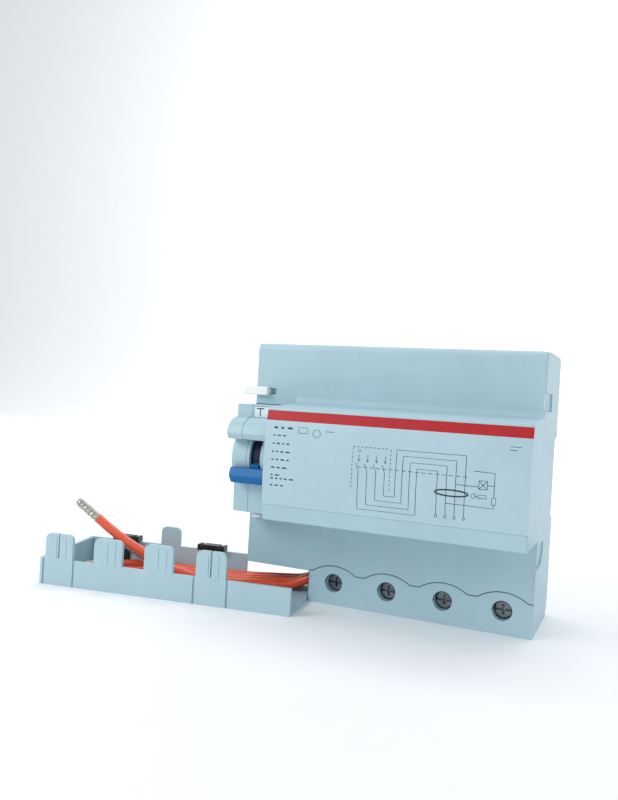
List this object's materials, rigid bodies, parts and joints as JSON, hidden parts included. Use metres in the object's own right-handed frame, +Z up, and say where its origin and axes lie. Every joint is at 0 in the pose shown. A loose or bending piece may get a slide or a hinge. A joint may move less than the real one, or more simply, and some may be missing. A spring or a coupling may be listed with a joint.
{
  "type": "residual current device",
  "caption": "Add-on residual current block for a modular breaker, with toggle, test button, clamp terminals and a wire tray with ferruled leads.",
  "frame": {"origin": "centre of the 35 mm rail on the rail seat, at the middle of the block's width", "axes": "+Z up, -Y towards the front, +X to the right seen from the front"},
  "size_m": [0.2069, 0.088, 0.109],
  "materials": {
    "housing": "fine satin moulding",
    "plate": "satin printed plate",
    "stripe": "printed red band",
    "handle_blue": "satin blue",
    "button": "satin white",
    "clip_white": "satin white",
    "clip_black": "satin black",
    "insulation": "glossy orange insulation",
    "tin": "tinned copper, crimped",
    "zinc": "zinc plated steel",
    "brass": "bright",
    "spring": "spring steel",
    "ferrite": "wound core band",
    "copper": "enamelled copper",
    "board": "green laminate",
    "component": "moulded component bodies",
    "latch": "grey glass filled nylon"
  },
  "bodies": {
    "root": {"front_case": "housing", "rear_case": "housing", "terminal_cover": "housing", "label_plate": "plate", "label_stripe": "stripe", "trip_module_left_shell": "housing", "trip_module_right_shell": "housing", "handle_shaft": "zinc", "test_button_spring": "spring", "case_screws": "zinc", "toroid_core": "ferrite", "toroid_winding": "copper", "circuit_board": "board", "board_components": "component", "test_resistor": "component", "relay_frame": "zinc", "relay_coil": "copper", "test_contact_blades": "brass", "cable_tray": "housing", "tray_clip_left": "clip_black", "tray_clip_right": "clip_black", "trip_lever_pin": "zinc", "latch_spring_left": "spring", "latch_spring_right": "spring", "contact_bar_1": "copper", "inner_lead_1": "insulation", "cable_1": "insulation", "ferrule_1": "tin", "contact_bar_2": "copper", "inner_lead_2": "insulation", "cable_2": "insulation", "ferrule_2": "tin", "contact_bar_3": "copper", "inner_lead_3": "insulation", "cable_3": "insulation", "ferrule_3": "tin", "contact_bar_4": "copper", "inner_lead_4": "insulation", "cable_4": "insulation", "ferrule_4": "tin"},
    "handle": {"handle": "handle_blue"},
    "test_button": {"test_button": "button"},
    "upper_coupling_clip": {"upper_coupling_clip": "clip_white"},
    "lower_coupling_clip": {"lower_coupling_clip": "clip_white"},
    "rail_latch_left": {"rail_latch_left": "latch"},
    "rail_latch_right": {"rail_latch_right": "latch"},
    "relay_plunger": {"relay_plunger": "zinc"},
    "trip_lever": {"trip_lever": "component"},
    "terminal_screw_1": {"terminal_screw_1": "zinc"},
    "terminal_cage_1": {"terminal_cage_1": "zinc"},
    "terminal_screw_2": {"terminal_screw_2": "zinc"},
    "terminal_cage_2": {"terminal_cage_2": "zinc"},
    "terminal_screw_3": {"terminal_screw_3": "zinc"},
    "terminal_cage_3": {"terminal_cage_3": "zinc"},
    "terminal_screw_4": {"terminal_screw_4": "zinc"},
    "terminal_cage_4": {"terminal_cage_4": "zinc"}
  },
  "joints": [
    {"name": "handle_turn", "type": "hinge", "parent": "root", "child": "handle", "pos_m": [-0.0504, -0.045, 0.0005], "axis": [-1, 0, 0], "range_deg": [0, 38]},
    {"name": "test_button_press", "type": "slide", "parent": "root", "child": "test_button", "axis": [0, 1, 0], "range_m": [0, 0.0015], "stiffness_N_per_m": 600, "deforming": ["test_button_spring"]},
    {"name": "upper_clip_slide", "type": "slide", "parent": "root", "child": "upper_coupling_clip", "axis": [1, 0, 0], "range_m": [0, 0.003]},
    {"name": "lower_clip_slide", "type": "slide", "parent": "root", "child": "lower_coupling_clip", "axis": [1, 0, 0], "range_m": [0, 0.003]},
    {"name": "rail_latch_left_slide", "type": "slide", "parent": "root", "child": "rail_latch_left", "axis": [0, 0, -1], "range_m": [0, 0.0035], "stiffness_N_per_m": 1500, "deforming": ["latch_spring_left"]},
    {"name": "rail_latch_right_slide", "type": "slide", "parent": "root", "child": "rail_latch_right", "axis": [0, 0, -1], "range_m": [0, 0.0035], "stiffness_N_per_m": 1500, "deforming": ["latch_spring_right"]},
    {"name": "relay_plunger_slide", "type": "slide", "parent": "root", "child": "relay_plunger", "axis": [-1, 0, 0], "range_m": [0, 0.002]},
    {"name": "trip_lever_turn", "type": "hinge", "parent": "root", "child": "trip_lever", "pos_m": [-0.0462, -0.0409, 0.004], "axis": [0, -1, 0], "range_deg": [0, 16.5]},
    {"name": "terminal_screw_1_turn", "type": "hinge", "parent": "root", "child": "terminal_screw_1", "pos_m": [-0.01995, -0.0325, -0.0505], "axis": [0, 1, 0], "range_deg": [0, 2530]},
    {"name": "terminal_cage_1_lift", "type": "slide", "parent": "root", "child": "terminal_cage_1", "axis": [0, -1, 0], "range_m": [0, 0.007]},
    {"name": "terminal_screw_2_turn", "type": "hinge", "parent": "root", "child": "terminal_screw_2", "pos_m": [0.00325, -0.0325, -0.0505], "axis": [0, 1, 0], "range_deg": [0, 2530]},
    {"name": "terminal_cage_2_lift", "type": "slide", "parent": "root", "child": "terminal_cage_2", "axis": [0, -1, 0], "range_m": [0, 0.007]},
    {"name": "terminal_screw_3_turn", "type": "hinge", "parent": "root", "child": "terminal_screw_3", "pos_m": [0.02645, -0.0325, -0.0505], "axis": [0, 1, 0], "range_deg": [0, 2530]},
    {"name": "terminal_cage_3_lift", "type": "slide", "parent": "root", "child": "terminal_cage_3", "axis": [0, -1, 0], "range_m": [0, 0.007]},
    {"name": "terminal_screw_4_turn", "type": "hinge", "parent": "root", "child": "terminal_screw_4", "pos_m": [0.04965, -0.0325, -0.0505], "axis": [0, 1, 0], "range_deg": [0, 2530]},
    {"name": "terminal_cage_4_lift", "type": "slide", "parent": "root", "child": "terminal_cage_4", "axis": [0, -1, 0], "range_m": [0, 0.007]}
  ],
  "couplings": [
    {"joint": "trip_lever_turn", "follows": "relay_plunger_slide", "rad_per_m": 143},
    {"joint": "terminal_screw_1_turn", "follows": "terminal_cage_1_lift", "rad_per_m": 6283.2},
    {"joint": "terminal_screw_2_turn", "follows": "terminal_cage_2_lift", "rad_per_m": 6283.2},
    {"joint": "terminal_screw_3_turn", "follows": "terminal_cage_3_lift", "rad_per_m": 6283.2},
    {"joint": "terminal_screw_4_turn", "follows": "terminal_cage_4_lift", "rad_per_m": 6283.2}
  ]
}
